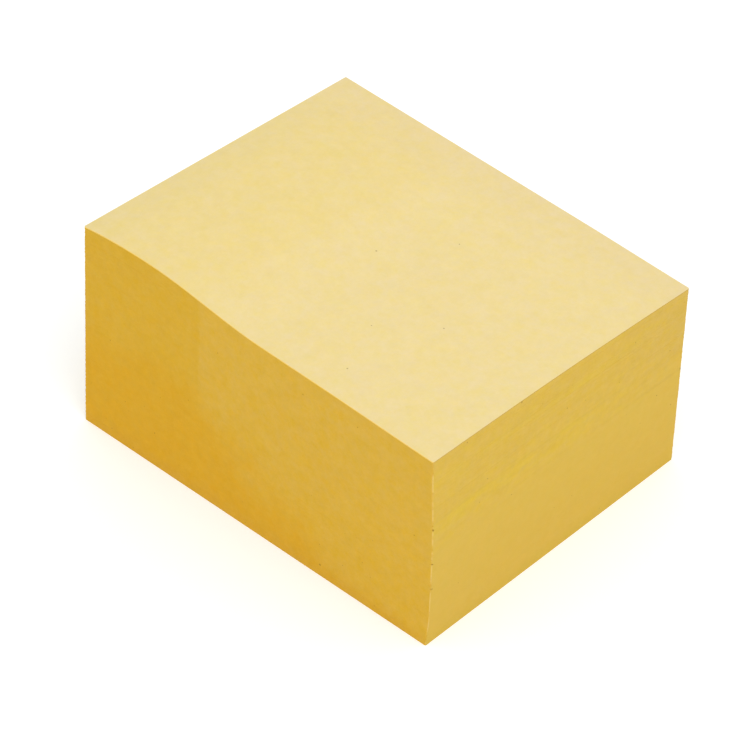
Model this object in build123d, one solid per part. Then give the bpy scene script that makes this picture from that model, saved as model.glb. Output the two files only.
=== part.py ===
from build123d import *
import os
from math import radians, tan

# A small block of sticky notes: loose sheets held together by a band of tacky glue across
# one short end, cut square on a guillotine and nothing else around them.
#
# Millimetres. X runs across the sheets, Y along them with the glued end at +Y, and Z is up.
# The origin is on the table, in the middle of the box that the block fills.

# The cut sheets, at the foot of the block
SHEET_WIDTH = 40.0
SHEET_LENGTH = 50.0
CORNER_RADIUS = 0.15

# The pile of them. The glue makes one end thicker, and the +X side is pressed a little lower.
FREE_END_HEIGHT = 24.7
GLUED_END_RISE = 1.66
SIDE_DROP = 1.18

# How far the cut faces are out of square, in degrees
SIDE_LEAN = 0.65
END_DRAFT = 1.08

# The swelling that the stacked glue bands raise in the top, measured from the glued end. It
# is highest a little way in, runs out before the middle, and fades towards the +X side.
CROWN_HEIGHT = 1.14
CROWN_AT_CUT = 0.37
CROWN_PEAK = 9.5
CROWN_FALL_START = 10.5
CROWN_FALL_END = 26.0
CROWN_FADE_WIDTH = 17.0

# The curved top is drawn through a net of heights, this far apart and past the sheets' edge
NET_STEP = 2.5
NET_MARGIN = 1.0


def smooth_step(share):
    """0 below 0 and 1 above 1, with an S-curve between."""
    share = min(max(share, 0.0), 1.0)
    return share * share * (3 - 2 * share)


def crown(from_end):
    """Height of the swelling on the -X side, at a distance from the glued end."""
    short_of_peak = max(1 - from_end / CROWN_PEAK, 0.0)
    rise = CROWN_HEIGHT - (CROWN_HEIGHT - CROWN_AT_CUT) * short_of_peak**2
    fall = smooth_step((from_end - CROWN_FALL_START) / (CROWN_FALL_END - CROWN_FALL_START))
    return rise * (1 - fall)


def top_height(x, y):
    """Height of the top sheet over a point of the table."""
    along = 0.5 + y / SHEET_LENGTH
    across = 0.5 + x / SHEET_WIDTH
    level = FREE_END_HEIGHT + GLUED_END_RISE * along - SIDE_DROP * across
    kept = smooth_step((SHEET_WIDTH / 2 - x) / CROWN_FADE_WIDTH)
    even_ramp = CROWN_AT_CUT * along
    return level + kept * crown(SHEET_LENGTH / 2 - y) + (1 - kept) * even_ramp


def even_steps(half_span):
    """Places from -half_span to half_span, about NET_STEP apart."""
    count = round(2 * half_span / NET_STEP)
    return [half_span * (2 * i / count - 1) for i in range(count + 1)]


def cut_block():
    """The pile as the guillotine leaves it, standing higher than it needs to."""
    height = FREE_END_HEIGHT + GLUED_END_RISE + CROWN_HEIGHT + NET_MARGIN
    half_width = SHEET_WIDTH / 2
    half_length = SHEET_LENGTH / 2
    lean = height * tan(radians(SIDE_LEAN))
    draft = height * tan(radians(END_DRAFT))
    seen_from_end = [
        (-half_width, 0),
        (half_width, 0),
        (half_width + lean, height),
        (-half_width + lean, height),
    ]
    seen_from_side = [
        (-half_length, 0),
        (half_length, 0),
        (half_length - draft, height),
        (-half_length + draft, height),
    ]
    long_cuts = extrude(Plane.XZ * Polygon(seen_from_end, align=None), half_length, both=True)
    end_cuts = extrude(Plane.YZ * Polygon(seen_from_side, align=None), SHEET_WIDTH, both=True)
    block = long_cuts & end_cuts
    upright_edges = block.edges().filter_by(lambda edge: abs(edge.tangent_at(0.5).Z) > 0.5)
    return fillet(upright_edges, CORNER_RADIUS)


def top_sheet_face():
    """The curved face of the top sheet, a little wider than the sheets all round."""
    columns = even_steps(SHEET_WIDTH / 2 + NET_MARGIN)
    rows = even_steps(SHEET_LENGTH / 2 + NET_MARGIN)
    net = [[(x, y, top_height(x, y)) for y in rows] for x in columns]
    return Face.make_surface_from_array_of_points(net, tol=0.005, min_deg=3, max_deg=5)


def sheet_stack():
    """All the sheets as one solid, set over the origin."""
    halves = split(cut_block(), bisect_by=top_sheet_face(), keep=Keep.BOTH)
    stack = min(halves.solids(), key=lambda solid: solid.center().Z)
    box = stack.bounding_box()
    middle = box.center()
    return Pos(-middle.X, -middle.Y, -box.min.Z) * stack


os.makedirs("parts", exist_ok=True)
stack = sheet_stack()
stack.label = "sheet_stack"
export_step(stack, "parts/sheet_stack.step")
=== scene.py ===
import math
import random

import bmesh
import bpy
from mathutils import Matrix, Vector, noise


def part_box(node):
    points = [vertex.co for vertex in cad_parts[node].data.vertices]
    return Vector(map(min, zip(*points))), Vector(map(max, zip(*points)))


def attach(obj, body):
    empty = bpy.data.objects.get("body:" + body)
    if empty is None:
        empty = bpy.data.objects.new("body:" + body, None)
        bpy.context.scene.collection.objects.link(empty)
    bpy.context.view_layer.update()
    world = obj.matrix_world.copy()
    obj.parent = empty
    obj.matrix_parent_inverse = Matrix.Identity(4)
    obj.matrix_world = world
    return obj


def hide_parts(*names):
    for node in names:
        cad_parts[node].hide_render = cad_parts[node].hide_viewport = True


# A small block of sticky notes. Every sheet's cut edge is a band of its own, drawn down from
# the rim of the pile's top, and the top sheet is a piece by itself. X runs across the sheets,
# Y along them with the glued end at +Y, and Z is up.

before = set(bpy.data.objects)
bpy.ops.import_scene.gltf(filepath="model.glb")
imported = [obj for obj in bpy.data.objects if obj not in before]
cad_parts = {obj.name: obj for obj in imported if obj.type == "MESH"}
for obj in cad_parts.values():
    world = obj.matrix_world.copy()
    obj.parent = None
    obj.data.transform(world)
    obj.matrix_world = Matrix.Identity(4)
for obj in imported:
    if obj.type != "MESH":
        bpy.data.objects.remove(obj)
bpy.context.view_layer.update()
NODE = "sheet_stack"
FOOT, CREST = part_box(NODE)

MM = 0.001


# ---------------------------------------------------------------- the form of the pile

SIDE_LEAN = math.tan(math.radians(0.65))
END_DRAFT = math.tan(math.radians(1.08))
SHEET_LENGTH = CREST.y - FOOT.y
FREE_END_HEIGHT = 24.7 * MM
GLUED_END_RISE = 1.66 * MM
SIDE_DROP = 1.18 * MM
CROWN_HEIGHT = 1.14 * MM
CROWN_AT_CUT = 0.37 * MM
CROWN_PEAK = 9.5 * MM
CROWN_FALL = (10.5 * MM, 26.0 * MM)
CROWN_FADE_WIDTH = 17.0 * MM

# The free end of the top is bowed across, a little up in the middle and down at its corners.
BOW_HEIGHT = 0.26 * MM
BOW_DIP = 0.12 * MM
BOW_SHARE = 0.3

# The sheets lean towards +X, so the box is wider than they are.
GLUED_SIDE_HEIGHT = FREE_END_HEIGHT + GLUED_END_RISE + CROWN_AT_CUT - SIDE_DROP
SHEET_WIDTH = CREST.x - FOOT.x - SIDE_LEAN * GLUED_SIDE_HEIGHT
FOOT_MIDDLE = FOOT.x + SHEET_WIDTH / 2

SHEET_COUNT = 250
SHEET_THICKNESS = FREE_END_HEIGHT / SHEET_COUNT
CORNER_RADIUS = 0.15 * MM
CORNER_STEPS = 3


def smooth_step(share):
    """0 below 0 and 1 above 1, with an S-curve between."""
    share = min(max(share, 0.0), 1.0)
    return share * share * (3 - 2 * share)


def crown(from_end):
    """Height of the swelling on the -X side, at a distance from the glued end."""
    short_of_peak = max(1 - from_end / CROWN_PEAK, 0.0)
    rise = CROWN_HEIGHT - (CROWN_HEIGHT - CROWN_AT_CUT) * short_of_peak**2
    start, end = CROWN_FALL
    return rise * (1 - smooth_step((from_end - start) / (end - start)))


def top_height(x, y):
    """Height of the pile over a point of a sheet, counted from the sheet's middle."""
    along = 0.5 + y / SHEET_LENGTH
    across = 0.5 + x / SHEET_WIDTH
    level = FREE_END_HEIGHT + GLUED_END_RISE * along - SIDE_DROP * across
    kept = smooth_step((SHEET_WIDTH / 2 - x) / CROWN_FADE_WIDTH)
    even_ramp = CROWN_AT_CUT * along
    near_free_end = smooth_step(1 - along / BOW_SHARE)
    bow = near_free_end * (BOW_HEIGHT * math.sin(math.pi * across) - BOW_DIP)
    return level + bow + kept * crown(SHEET_LENGTH / 2 - y) + (1 - kept) * even_ramp


def stacked(x, y, height):
    """Where a sheet's point lies once its sheet is at a height in the leaning pile."""
    drawn_in = 1 - 2 * END_DRAFT * height / SHEET_LENGTH
    return Vector((FOOT_MIDDLE + x + SIDE_LEAN * height, y * drawn_in, height))


def inside_box(place):
    """The nearest place in the box that the CAD model fills."""
    pairs = zip(place, FOOT, CREST)
    return Vector([min(max(value, low), high) for value, low, high in pairs])


# ---------------------------------------------------------------- mesh help

# What each vertex remembers: its place on its sheet, how high up the pile it is from 0 to 1,
# and whether it is on an end face or on an upright corner.
FIELDS = ("sheet_x", "sheet_y", "pile_share", "end_face", "corner")


def finished(name, bm, *materials):
    """The bmesh as an object of its own."""
    bmesh.ops.recalc_face_normals(bm, faces=bm.faces)
    mesh = bpy.data.meshes.new(name)
    bm.to_mesh(mesh)
    bm.free()
    for material in materials:
        mesh.materials.append(material)
    piece = bpy.data.objects.new(name, mesh)
    bpy.context.scene.collection.objects.link(piece)
    return piece


def outward(x, y):
    """The direction straight out of the sheet's edge at a point of its outline."""
    past_x = max(abs(x) - (SHEET_WIDTH / 2 - CORNER_RADIUS), 0.0)
    past_y = max(abs(y) - (SHEET_LENGTH / 2 - CORNER_RADIUS), 0.0)
    return Vector((math.copysign(past_x, x), math.copysign(past_y, y), 0)).normalized()


def new_sheet(across, along):
    """A flat sheet of so many cells, with its four corners just softened."""
    bm = bmesh.new()
    bmesh.ops.create_grid(bm, x_segments=across, y_segments=along, size=0.5)
    bmesh.ops.scale(bm, vec=(SHEET_WIDTH, SHEET_LENGTH, 1), verts=bm.verts)
    corners = [v for v in bm.verts if len(v.link_faces) == 1]
    bmesh.ops.bevel(
        bm,
        geom=corners,
        offset=CORNER_RADIUS,
        segments=CORNER_STEPS,
        profile=0.5,
        affect="VERTICES",
        material=-1,
    )
    for field in FIELDS:
        bm.verts.layers.float.new(field)
    layers = fields_of(bm)
    for v in bm.verts:
        out = outward(v.co.x, v.co.y)
        v[layers["sheet_x"]] = v.co.x
        v[layers["sheet_y"]] = v.co.y
        v[layers["end_face"]] = out.y**2
        v[layers["corner"]] = 4 * (out.x * out.y) ** 2
    return bm


def fields_of(bm):
    return {field: bm.verts.layers.float[field] for field in FIELDS}


# ---------------------------------------------------------------- the flat map of a piece

# The materials don't read this map; it is for whoever paints or bakes the pieces. Its strips are
# given as (left, bottom, scale), with lengths in millimetres.
PILE_MAP_WIDTH = 94.0
PILE_STRIPS = {
    "side -": (1.0, 1.0, 1.0),
    "end -": (52.5, 1.0, 1.0),
    "side +": (1.0, 30.0, 1.0),
    "end +": (52.5, 30.0, 1.0),
    "under": (1.0, 59.0, 0.68),
    "over": (30.0, 59.0, 0.5),
}
PILE_STRIP_HEIGHT = 27.0
NOTE_MAP_WIDTH = 54.0
NOTE_STRIPS = {
    "over": (1.0, 1.0, 1.0),
    "side -": (42.5, 1.0, 1.0),
    "side +": (44.5, 1.0, 1.0),
    "end -": (46.5, 1.0, 1.0),
    "end +": (48.5, 1.0, 1.0),
    "under": (50.5, 1.0, 0.07),
}
NOTE_STRIP_HEIGHT = 1.0


def strip_of(face, places):
    """The strip of the map that a face belongs on."""
    if face.material_index == 1:
        return "over" if face.normal.z > 0 else "under"
    out = sum((outward(*places[v]) for v in face.verts), Vector())
    if abs(out.x) >= abs(out.y):
        return "side +" if out.x > 0 else "side -"
    return "end +" if out.y > 0 else "end -"


def spot_on_strip(strip, x, y, up, turned_strips):
    """A vertex's place on its strip, in metres: along the edge and up it, or across a face."""
    from_left, from_free_end = x + SHEET_WIDTH / 2, y + SHEET_LENGTH / 2
    if strip in ("over", "under"):
        return from_left, from_free_end
    along = from_free_end if strip.startswith("side") else from_left
    return (up, along) if turned_strips else (along, up)


def lay_flat(bm, width, strips, height, turned_strips):
    """Gives the piece a map with its four edges, its top and its underside side by side."""
    bmesh.ops.recalc_face_normals(bm, faces=bm.faces)
    layers = fields_of(bm)
    flat = bm.loops.layers.uv.new("OFBake")
    places = {v: (v[layers["sheet_x"]], v[layers["sheet_y"]]) for v in bm.verts}
    for face in bm.faces:
        strip = strip_of(face, places)
        left, bottom, scale = strips[strip]
        for loop in face.loops:
            up = loop.vert[layers["pile_share"]] * height * MM
            spot = spot_on_strip(strip, *places[loop.vert], up, turned_strips)
            loop[flat].uv = (
                (left + spot[0] / MM * scale) / width,
                (bottom + spot[1] / MM * scale) / width,
            )


# ---------------------------------------------------------------- the sheets' edges

dice = random.Random(20)
LONG_SIDE_SCATTER = 0.005 * MM
END_SCATTER = 0.009 * MM
WANDER = 0.012 * MM
WANDER_LENGTH = 9 * MM
CORNER_WEAR = 0.06 * MM
LEDGE_SHARE = 0.05

# Sheets in the upper part of the pile stand less evenly than those below this share of it.
LOOSE_FROM = 0.4
LOOSE_OVER = 0.2
EVEN_SCATTER = 0.35

# How fast the wander of the edges changes from one sheet to the next
WANDER_STEP = 0.31

# The front upright corner is pushed round a little towards the free end.
CORNER_PUSH = Vector((0.22, -0.18, 0)) * MM
CORNER_PUSH_REACH = 8 * MM

# It runs out towards the foot and the top, over these shares of the height.
CORNER_PUSH_FOOT = 0.15
CORNER_PUSH_TOP = 0.5

# Deep nicks in that corner, as shares of the height
NICKS = (0.18, 0.31, 0.45, 0.635)
NICK_DEPTH = 0.22 * MM


def sheet_settings():
    """How far each sheet sticks out or in on its four sides, and at its corners."""
    settings = []
    for sheet in range(SHEET_COUNT):
        looseness = smooth_step((sheet / SHEET_COUNT - LOOSE_FROM) / LOOSE_OVER)
        loose = EVEN_SCATTER + (1 - EVEN_SCATTER) * looseness
        settings.append(
            {
                "side": [dice.uniform(-1, 1) * LONG_SIDE_SCATTER for _ in range(2)],
                "end": [dice.uniform(-1, 1) * END_SCATTER * loose for _ in range(2)],
                "corner": [abs(dice.gauss(0, CORNER_WEAR)) for _ in range(4)],
            }
        )
    for share in NICKS:
        settings[round(share * SHEET_COUNT)]["corner"][0] = NICK_DEPTH
    return settings


def edge_offset(setting, sheet, x, y):
    """How far one sheet's edge stands out from the cut face at a point of its outline."""
    out = outward(x, y)
    side = setting["side"][x > 0] * out.x**2
    end = setting["end"][y > 0] * out.y**2
    worn = setting["corner"][2 * (x > 0) + (y > 0)] * 4 * (out.x * out.y) ** 2
    spot = Vector((x / WANDER_LENGTH, y / WANDER_LENGTH, sheet * WANDER_STEP))
    return out * (side + end - worn + WANDER * noise.noise(spot))


def corner_push(x, y, share):
    """How the front upright corner leans out of true at a share of the height."""
    from_corner = max(x + SHEET_WIDTH / 2, y + SHEET_LENGTH / 2)
    near = smooth_step(1 - from_corner / CORNER_PUSH_REACH)
    above_foot = smooth_step(share / CORNER_PUSH_FOOT)
    below_top = smooth_step((1 - share) / CORNER_PUSH_TOP)
    return CORNER_PUSH * (near * above_foot * below_top)


PILE_GRID = (32, 40)
TOP_GRID = (80, 100)

# The top note is a little thinner than the average sheet of the pile.
TOP_THICKNESS = SHEET_THICKNESS * 0.96


def pile_of_sheets(edge_finish, face_finish):
    """All the sheets but the top one, in one closed mesh."""
    bm = new_sheet(*PILE_GRID)
    layers = fields_of(bm)
    settings = sheet_settings()

    def set_down(v, sheet, share):
        """Puts a vertex on the edge of its sheet."""
        x, y = v[layers["sheet_x"]], v[layers["sheet_y"]]
        place = stacked(x, y, share * top_height(x, y))
        place += edge_offset(settings[sheet], sheet, x, y) + corner_push(x, y, share)
        v.co = inside_box(place)
        v[layers["pile_share"]] = share

    def drawn_down(rim, sheet, share):
        """A new rim below the last one, on the edge of a sheet."""
        drawn = bmesh.ops.extrude_edge_only(bm, edges=rim)["geom"]
        for part in drawn:
            if isinstance(part, bmesh.types.BMVert):
                set_down(part, sheet, share)
            if isinstance(part, bmesh.types.BMFace):
                part.material_index = 0
        return open_edges(drawn)

    for v in bm.verts:
        set_down(v, SHEET_COUNT - 2, 1 - 1 / SHEET_COUNT)
    for face in bm.faces:
        face.material_index = 1
    rim = open_edges(bm.edges)
    for sheet in reversed(range(SHEET_COUNT - 1)):
        if sheet < SHEET_COUNT - 2:
            rim = drawn_down(rim, sheet, (sheet + 1 - LEDGE_SHARE) / SHEET_COUNT)
        rim = drawn_down(rim, sheet, (sheet + LEDGE_SHARE) / SHEET_COUNT if sheet else 0.0)
    under = bmesh.ops.contextual_create(bm, geom=rim)["faces"]
    for face in under:
        face.material_index = 1
    lay_flat(bm, PILE_MAP_WIDTH, PILE_STRIPS, PILE_STRIP_HEIGHT, False)
    return finished("note_pile", bm, edge_finish, face_finish)


def open_edges(parts):
    return [e for e in parts if isinstance(e, bmesh.types.BMEdge) and e.is_boundary]


# ---------------------------------------------------------------- the top sheet


def top_sheet(edge_finish, face_finish):
    """The top note: a thin closed sheet that follows the swollen pile."""
    bm = new_sheet(*TOP_GRID)
    layers = fields_of(bm)
    for v in bm.verts:
        x, y = v.co.x, v.co.y
        v.co = inside_box(stacked(x, y, top_height(x, y)))
        v[layers["pile_share"]] = 1.0
    for face in bm.faces:
        face.smooth = True
        face.material_index = 1
    lower = list(bm.verts)
    bmesh.ops.extrude_face_region(bm, geom=list(bm.faces), use_keep_orig=True)
    for v in lower:
        v.co.z -= TOP_THICKNESS
        v[layers["pile_share"]] = 0.0
    for face in bm.faces:
        shares = {v[layers["pile_share"]] for v in face.verts}
        if len(shares) == 2:
            face.material_index = 0
            face.smooth = False
    for e in bm.edges:
        if len({face.material_index for face in e.link_faces}) == 2:
            e.smooth = False
    lay_flat(bm, NOTE_MAP_WIDTH, NOTE_STRIPS, NOTE_STRIP_HEIGHT, True)
    # The top note's whole edge takes the rim's colours, with the painted highlight on its long
    # sides
    for v in bm.verts:
        v[layers["pile_share"]] = 1.0
    return finished("top_note", bm, edge_finish, face_finish)


# ---------------------------------------------------------------- finishes

RELIEF = 0.01 * MM
PAPER_GLOSS = 0.2
FACE_ROUGHNESS = 0.92
EDGE_ROUGHNESS = 0.9
FLOOR_ROUGHNESS = 0.95
NO_GLOW = (1.0, 1.0, 1.0, 1.0)


def display(red, green, blue):
    """A colour given as a screen shows it, from 0 to 255, as linear light."""
    linear = []
    for value in (red, green, blue):
        share = value / 255
        linear.append(share / 12.92 if share <= 0.04045 else ((share + 0.055) / 1.055) ** 2.4)
    return (*linear, 1.0)


class Value:
    """Something that varies over a surface, which can be used in sums."""

    def __init__(self, finish, socket):
        self.finish = finish
        self.socket = socket

    def combined(self, operation, first, second):
        return self.finish.node("ShaderNodeMath", {"operation": operation}, {0: first, 1: second})

    def __add__(self, other):
        return self.combined("ADD", self, other)

    def __radd__(self, other):
        return self.combined("ADD", other, self)

    def __sub__(self, other):
        return self.combined("SUBTRACT", self, other)

    def __rsub__(self, other):
        return self.combined("SUBTRACT", other, self)

    def __mul__(self, other):
        return self.combined("MULTIPLY", self, other)

    def __rmul__(self, other):
        return self.combined("MULTIPLY", other, self)

    def capped(self, most):
        """This value, or the most that it may be."""
        return self.combined("MINIMUM", self, most)


class Finish:
    """A material and the few steps that its pattern is made of."""

    def __init__(self, name):
        self.material = bpy.data.materials.new(name)
        self.material.use_nodes = True
        self.tree = self.material.node_tree
        self.tree.nodes.clear()
        self.spot = self.node("ShaderNodeTexCoord", {}, {}, "Object")

    def node(self, kind, settings, sockets, output=None):
        """A new node with its settings made and its sockets filled or linked."""
        made = self.tree.nodes.new(kind)
        for name, value in settings.items():
            setattr(made, name, value)
        for name, value in sockets.items():
            if isinstance(name, int):
                socket = made.inputs[name]
            else:
                socket = next(s for s in made.inputs if s.enabled and s.name == name)
            if isinstance(value, Value):
                self.tree.links.new(value.socket, socket)
            else:
                socket.default_value = value
        outputs = [s for s in made.outputs if s.enabled and output in (None, s.name)]
        return Value(self, outputs[0]) if outputs else None

    def place(self):
        """How far a point of the block is across and along it, in metres from the middle."""
        split = "ShaderNodeSeparateXYZ"
        return [self.node(split, {}, {"Vector": self.spot}, axis) for axis in "XY"]

    def field(self, name):
        """One of the things that the vertices remember."""
        return self.node("ShaderNodeAttribute", {"attribute_name": name}, {}, "Fac")

    def vector(self, x, y, z):
        return self.node("ShaderNodeCombineXYZ", {}, {"X": x, "Y": y, "Z": z})

    def grain(self, size, detail=2.0, roughness=0.5, where=None, seed=0.0):
        """Soft noise about 0, with lumps of a size in metres."""
        noise_value = self.node(
            "ShaderNodeTexNoise",
            {"noise_dimensions": "4D"},
            {
                "Vector": self.spot if where is None else where,
                "W": seed,
                "Scale": 1 / size,
                "Detail": detail,
                "Roughness": roughness,
            },
            "Fac",
        )
        return noise_value - 0.5

    def ramp(self, value, start, end):
        """0 where the value is at start and 1 at end, with an S-curve between."""
        return self.node(
            "ShaderNodeMapRange",
            {"interpolation_type": "SMOOTHSTEP", "clamp": True},
            {"Value": value, "From Min": start, "From Max": end},
        )

    def hump(self, value, middle, reach):
        """1 where the value is at the middle, and 0 past its reach either way."""
        off = (value - middle) * (1 / reach)
        return self.ramp(off * off, 1.0, 0.0)

    def mix(self, share, first, second):
        return self.node(
            "ShaderNodeMix",
            {"data_type": "RGBA", "clamp_factor": True},
            {"Factor": share, "A": first, "B": second},
        )

    def mottled(self, colour, light, tone, hue):
        """The colour in grains: lighter or darker, bluer or yellower, redder or greener."""
        red = light + hue + 1.0
        green = light + tone * 0.06 - hue + 1.0
        factors = self.vector(red, green, light + tone + 1.0)
        return self.node(
            "ShaderNodeVectorMath", {"operation": "MULTIPLY"}, {0: colour, 1: factors}
        )

    def dot(self, middle, radius):
        """1 in a small round spot about a place on the block, with a soft rim."""
        gap = self.node(
            "ShaderNodeVectorMath", {"operation": "DISTANCE"}, {0: self.spot, 1: middle}, "Value"
        )
        return self.ramp(gap, radius, radius * 0.35)

    def strewn_dots(self, spacing, radius, kept):
        """1 in small spots strewn at random, of which only a share are kept."""
        gap = self.node(
            "ShaderNodeTexVoronoi",
            {"voronoi_dimensions": "3D"},
            {"Vector": self.spot, "Scale": 1 / spacing, "Randomness": 1.0},
            "Distance",
        )
        draw = Value(self, gap.socket.node.outputs["Color"])
        chance = self.node("ShaderNodeSeparateColor", {}, {"Color": draw}, "Red")
        near = self.ramp(gap, radius / spacing, 0.4 * radius / spacing)
        return near * self.ramp(chance, kept, kept * 0.9)

    def paper(self, colour, height, roughness, glow_colour=NO_GLOW, glow=0.0):
        """Closes the material as dull uncoated paper with a little relief."""
        relief = {"Height": height, "Distance": RELIEF, "Strength": 1.0}
        normal = self.node("ShaderNodeBump", {}, relief)
        shader = self.node(
            "ShaderNodeBsdfPrincipled",
            {},
            {
                "Base Color": colour,
                "Roughness": roughness,
                "Normal": normal,
                "Specular IOR Level": PAPER_GLOSS,
                "Emission Color": glow_colour,
                "Emission Strength": glow,
            },
        )
        self.node("ShaderNodeOutputMaterial", {}, {"Surface": shader})
        return self.material


FACE = display(239, 217, 153)
# Painted shade: yellower where the crown slopes down over the glued band
FACE_CROWN_SLOPE_SHADE = display(238, 215, 145)
# Painted shade: darker along the glued end, where the top bends down
FACE_SHADE_AT_CUT = display(234, 213, 150)
FACE_GREYER = display(235, 213, 156)
SPECK = display(120, 92, 62)

# The larger specks on the top note, in millimetres from the middle, with their sizes
FACE_SPECKS = (
    (0.0, 1.5, 0.14),
    (7.4, -3.65, 0.11),
    (-16.0, -9.5, 0.13),
    (-9.25, -6.5, 0.1),
    (-4.1, -11.9, 0.12),
)


def face_paper():
    """The pale face of a note, with painted shade where the crown slopes and along the glued end.
    """
    finish = Finish("note_face_paper")
    x, y = finish.place()
    from_glued_end = CREST.y - y
    wander = finish.grain(6 * MM, 4.0, 0.6, seed=1.0)
    # Painted shade of the crown's slope, over the glued band
    crown_slope_shade = finish.ramp(from_glued_end + wander * (10 * MM), 21.5 * MM, 15.5 * MM)
    # Painted shade along the glued end, where the top bends down
    shade_at_cut = finish.ramp(from_glued_end + wander * (4 * MM), 7.0 * MM, 0.0)
    to_side = finish.ramp(x + wander * (8 * MM), 11.0 * MM, 20.0 * MM)
    # The painted shades of the crown's slope and of the glued end go over the paper's own colour
    colour = finish.mix(crown_slope_shade, FACE, FACE_CROWN_SLOPE_SHADE)
    colour = finish.mix(shade_at_cut * 0.8, colour, FACE_SHADE_AT_CUT)
    colour = finish.mix(to_side * 0.7, colour, FACE_GREYER)
    light = finish.grain(1.4 * MM, 5.0, 0.85, seed=2.0) * 0.17
    tone = finish.grain(1.6 * MM, 4.0, 0.75, seed=3.0) * 0.85
    hue = finish.grain(1.2 * MM, 4.0, 0.75, seed=10.0) * 0.035
    colour = finish.mottled(colour, light, tone, hue)
    specks = finish.strewn_dots(2.4 * MM, 0.1 * MM, 0.05) * 0.35
    for across, along, radius in FACE_SPECKS:
        place = stacked(across * MM, along * MM, top_height(across * MM, along * MM))
        specks = specks + finish.dot(place, radius * MM) * 0.5
    colour = finish.mix(specks, colour, SPECK)
    fuzz = finish.grain(0.25 * MM, 4.0, 0.7) + finish.grain(1.5 * MM) * 1.5
    return finish.paper(colour, fuzz, FACE_ROUGHNESS)


SIDE = display(213, 170, 60)
# Painted shade: a little darker low on the long sides
SIDE_LOW_SHADE = display(213, 169, 54)
SIDE_GLUED = display(211, 166, 46)
SIDE_BROWN = display(212, 161, 33)
# Painted shade at the foot of the long sides
SIDE_FOOT_SHADE = display(208, 160, 46)
END = display(212, 176, 74)
# Painted shade: a little darker low on the ends
END_LOW_SHADE = display(211, 174, 72)
END_GREY = display(210, 175, 81)
END_YELLOW = display(214, 180, 60)
# Painted shade at the foot of the ends
END_FOOT_SHADE = display(207, 173, 66)
# Painted highlight along the worn upright corners
CORNER_HIGHLIGHT = display(236, 206, 128)
# Painted highlight along the top of the long sides
SIDE_RIM_HIGHLIGHT = display(246, 205, 100)
END_RIM = display(196, 158, 66)
EDGE_SPECK = display(118, 74, 22)

# The cut edges are deeper over the glue, and browner below a line that falls from a share of
# the height at the glue to the foot, this far from the glued end.
GLUE_BAND = 17.3 * MM
BROWN_REACH = 41 * MM
BROWN_SHARE = 0.455

# How much the streaks and blotches of the ends are drawn out along the sheets
STREAK_STRETCH = 8
BLOTCH_STRETCH = 3

# Shares of the pile's height where the rim starts and is full: a painted highlight on the long
# sides, and darker on the ends
RIM_START = 0.9935
RIM_FULL = 0.998

# The larger specks in the cut faces: which face, how far along it in millimetres, how high up
# it as a share, and the size in millimetres
EDGE_SPECKS = (
    ("side", 35.2, 0.06, 0.17),
    ("side", 32.2, 0.9, 0.09),
    ("side", 20.0, 0.81, 0.09),
    ("side", 39.8, 0.92, 0.09),
    ("side", 10.8, 0.17, 0.11),
    ("side", 4.0, 0.5, 0.09),
    ("side", 15.8, 0.46, 0.08),
    ("side", 47.6, 0.55, 0.1),
    ("end", 0.1, 0.635, 0.17),
    ("end", 0.15, 0.45, 0.12),
    ("end", 0.25, 0.31, 0.14),
    ("end", 0.5, 0.18, 0.12),
    ("end", 5.0, 0.98, 0.11),
    ("end", 13.2, 0.992, 0.16),
    ("end", 31.4, 0.89, 0.11),
    ("end", 12.5, 0.51, 0.1),
    ("end", 39.8, 0.545, 0.17),
    ("end", 38.7, 0.36, 0.1),
    ("end", 20.7, 0.78, 0.09),
    ("end", 29.2, 0.72, 0.08),
    ("end", 8.5, 0.7, 0.1),
    ("end", 37.6, 0.7, 0.1),
    ("end", 7.4, 0.6, 0.08),
    ("end", 36.0, 0.48, 0.11),
    ("end", 19.7, 0.25, 0.08),
)


def edge_place(face, along, share):
    """A place on the -X side, from its glued end, or on the free end, from its -X side."""
    x, y = -SHEET_WIDTH / 2, -SHEET_LENGTH / 2
    if face == "side":
        y = SHEET_LENGTH / 2 - along * MM
    else:
        x += along * MM
    return stacked(x, y, share * top_height(x, y)) + corner_push(x, y, share)


def long_side_colour(finish, share, from_glued_end, patches):
    """Deeper beside the glue, browner low down in the glued half, and darker towards the bottom
    with painted shade.
    """
    # Painted shade, growing towards the bottom of the side
    colour = finish.mix(finish.ramp(share + patches * 0.5, 0.85, 0.1), SIDE, SIDE_LOW_SHADE)
    edge_wander = finish.grain(0.8 * MM, 2.0, 0.5, seed=4.0) * (0.6 * MM)
    glued = finish.ramp(from_glued_end + edge_wander, GLUE_BAND + 0.3 * MM, GLUE_BAND - 0.3 * MM)
    colour = finish.mix(glued * 0.9, colour, SIDE_GLUED)
    slope = BROWN_SHARE / (BROWN_REACH - GLUE_BAND)
    line = (BROWN_REACH - from_glued_end) * slope
    line = line.capped(BROWN_SHARE * 1.15)
    brown = finish.ramp(share - line + patches * 0.5, 0.16, -0.16)
    colour = finish.mix(brown * 0.9, colour, SIDE_BROWN)
    # Painted shade at the foot
    foot_shade = finish.ramp(share + patches * 0.06, 0.1, 0.0)
    return finish.mix(foot_shade * 0.6, colour, SIDE_FOOT_SHADE)


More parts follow.
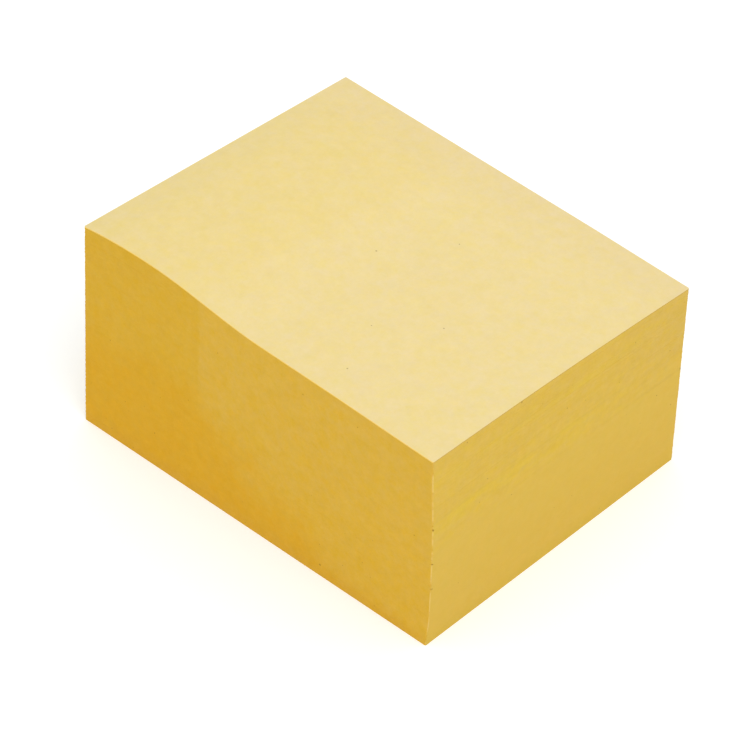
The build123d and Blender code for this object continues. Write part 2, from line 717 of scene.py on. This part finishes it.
def end_colour(finish, share, x, patches, lines, blotches):
    """Yellow streaks in the looser upper sheets, greyer paper high on the +X side, and painted
    shade towards the bottom.
    """
    # Painted shade, growing towards the bottom of the end
    colour = finish.mix(finish.ramp(share, 0.6, 0.15), END, END_LOW_SHADE)
    greyer = finish.ramp(x + patches * (10 * MM), 6 * MM, 16 * MM)
    greyer = greyer * finish.ramp(share + patches * 0.2, 0.58, 0.74)
    colour = finish.mix(greyer * 0.9, colour, END_GREY)
    bands = finish.hump(share, 0.635, 0.06) + finish.hump(share, 0.87, 0.03) * 0.6
    streaks = bands * finish.ramp(x + patches * (12 * MM), 14 * MM, 0.0)
    colour = finish.mix(streaks * finish.ramp(lines, -0.2, 0.12) * 0.8, colour, END_YELLOW)
    upper = finish.ramp(share, 0.46, 0.56)
    colour = finish.mix(upper * finish.ramp(blotches, 0.0, 0.2) * 0.5, colour, END_YELLOW)
    colour = finish.mix(upper * finish.ramp(blotches, 0.0, -0.2) * 0.6, colour, END_GREY)
    # Painted shade at the foot
    foot_shade = finish.ramp(share + patches * 0.06, 0.09, 0.0)
    return finish.mix(foot_shade * 0.7, colour, END_FOOT_SHADE)


def edge_paper():
    """The cut edges of the pile: deeper, and deepest beside the glue, with painted shade towards
    the bottom and painted highlights on the worn upright corners and along the top of the long
    sides.
    """
    finish = Finish("note_edge_paper")
    x, y = finish.place()
    share = finish.field("pile_share")
    end_face = finish.field("end_face")
    patches = finish.grain(6 * MM, 4.0, 0.65, seed=5.0)
    along_sheet = finish.vector(
        x * (1 / STREAK_STRETCH), y * (1 / STREAK_STRETCH), share * (FREE_END_HEIGHT * 0.6)
    )
    lines = finish.grain(1 * MM, 4.0, 0.75, along_sheet, 6.0)
    side = long_side_colour(finish, share, CREST.y - y, patches)
    blotch_spot = finish.vector(
        x * (1 / BLOTCH_STRETCH), y * (1 / BLOTCH_STRETCH), share * FREE_END_HEIGHT
    )
    blotches = finish.grain(0.8 * MM, 3.0, 0.7, blotch_spot, 9.0)
    end = end_colour(finish, share, x, patches, lines, blotches)
    colour = finish.mix(end_face, side, end)
    loose = finish.ramp(share, 0.48, 0.62) * end_face
    dark_lines = finish.hump(share, 0.668, 0.012) * finish.ramp(lines, -0.15, 0.1)
    far_line = finish.hump(share, 0.545, 0.012) * finish.ramp(x, 8 * MM, 16 * MM)
    light = finish.grain(1.2 * MM, 5.0, 0.88, seed=7.0) * 0.27
    light = light * (1 - end_face * 0.5 + loose * 0.5)
    light = light + lines * (loose * 0.06) - (dark_lines + far_line) * (end_face * 0.03)
    tone = finish.grain(1.3 * MM, 4.0, 0.78, seed=8.0) * (2.3 - end_face * 1.7 + loose * 0.7)
    hue = finish.grain(1.2 * MM, 4.0, 0.75, seed=11.0) * 0.05
    colour = finish.mottled(colour, light, tone, hue)
    # The upright corners are worn, and their pale line is a painted highlight, broken by grain
    worn = finish.ramp(finish.grain(1.5 * MM, 4.0), -0.1, 0.08) * finish.field("corner")
    colour = finish.mix(worn * 0.65, colour, CORNER_HIGHLIGHT)
    # The rim at the top of the pile: a painted highlight on the long sides, darker on the ends
    rim = finish.mix(end_face, SIDE_RIM_HIGHLIGHT, END_RIM)
    colour = finish.mix(finish.ramp(share, RIM_START, RIM_FULL), colour, rim)
    specks = finish.strewn_dots(1.2 * MM, 0.09 * MM, 0.3) * 0.4
    for face, along, height, radius in EDGE_SPECKS:
        specks = specks + finish.dot(edge_place(face, along, height), radius * MM) * 0.55
    colour = finish.mix(specks, colour, EDGE_SPECK)
    fuzz = finish.grain(0.25 * MM, 4.0, 0.7)
    return finish.paper(colour, fuzz, EDGE_ROUGHNESS)


# The floor's own faint light. It is a little blue, against the yellow that the block throws.
FLOOR_GLOW = 0.2
FLOOR_GLOW_COLOUR = (0.7, 0.87, 1.0, 1.0)


def floor_paint():
    """A white table, faintly lit from below so that shadows stay pale."""
    finish = Finish("pale_floor")
    cloud = finish.grain(300 * MM) + 0.5
    colour = finish.mix(cloud, display(253, 253, 253), display(255, 255, 255))
    relief = finish.grain(2 * MM) * 0.1
    return finish.paper(colour, relief, FLOOR_ROUGHNESS, FLOOR_GLOW_COLOUR, FLOOR_GLOW)


# ---------------------------------------------------------------- floor, light and camera


FLOOR_RADIUS = 3.0
SKY_STRENGTH = 0.82

# The one lamp: its direction in degrees, and its distance, width and power in metres and watts
KEY_DIRECTION = (-30, 55)
KEY_DISTANCE = 1.2
KEY_WIDTH = 0.9
KEY_POWER = 3.9

# The camera: its lens and sensor in millimetres, what it looks at, and where it stands from it
LENS = 166.40
SENSOR = 36.0
CAMERA_AIM = Vector((-2.858, -1.604, 12.418)) * MM
CAMERA_DIRECTION = (-48.76, 40.345)
CAMERA_DISTANCE = 366.46 * MM
CAMERA_ROLL = 2.19


def floor():
    bm = bmesh.new()
    bmesh.ops.create_circle(bm, cap_ends=True, segments=96, radius=FLOOR_RADIUS)
    ground = finished("floor", bm, floor_paint())


def set_off(item, azimuth, elevation, distance, aim, roll=0.0):
    """Stands a camera or lamp off in a direction given in degrees, looking at a point."""
    turn = Matrix.Rotation(math.radians(azimuth), 4, "Z")
    turn = turn @ Matrix.Rotation(math.radians(90 - elevation), 4, "X")
    turn = turn @ Matrix.Rotation(math.radians(roll), 4, "Z")
    item.matrix_world = Matrix.Translation(aim) @ turn @ Matrix.Translation((0, 0, distance))
    bpy.context.scene.collection.objects.link(item)


def softbox(name, azimuth, elevation, distance, size, power):
    """A round lamp that looks at the middle of the block."""
    lamp = bpy.data.lights.new(name, "AREA")
    lamp.shape = "DISK"
    lamp.size = size
    lamp.energy = power
    middle = Vector((0, 0, FREE_END_HEIGHT / 2))
    set_off(bpy.data.objects.new(name, lamp), azimuth, elevation, distance, middle)


def studio():
    world = bpy.data.worlds.new("studio")
    world.use_nodes = True
    background = world.node_tree.nodes["Background"]
    background.inputs["Color"].default_value = (1.0, 1.0, 1.0, 1.0)
    background.inputs["Strength"].default_value = SKY_STRENGTH
    bpy.context.scene.world = world
    softbox("key", *KEY_DIRECTION, KEY_DISTANCE, KEY_WIDTH, KEY_POWER)


def camera():
    lens = bpy.data.cameras.new("camera")
    lens.sensor_width = SENSOR
    lens.lens = LENS
    lens.clip_start = 0.01
    item = bpy.data.objects.new("camera", lens)
    set_off(item, *CAMERA_DIRECTION, CAMERA_DISTANCE, CAMERA_AIM, CAMERA_ROLL)
    bpy.context.scene.camera = item


# ---------------------------------------------------------------- the whole

face_finish = face_paper()
edge_finish = edge_paper()
for piece in (pile_of_sheets(edge_finish, face_finish), top_sheet(edge_finish, face_finish)):
    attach(piece, "root")
    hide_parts(NODE)
floor()
studio()
camera()
bpy.context.scene.view_settings.view_transform = "Standard"
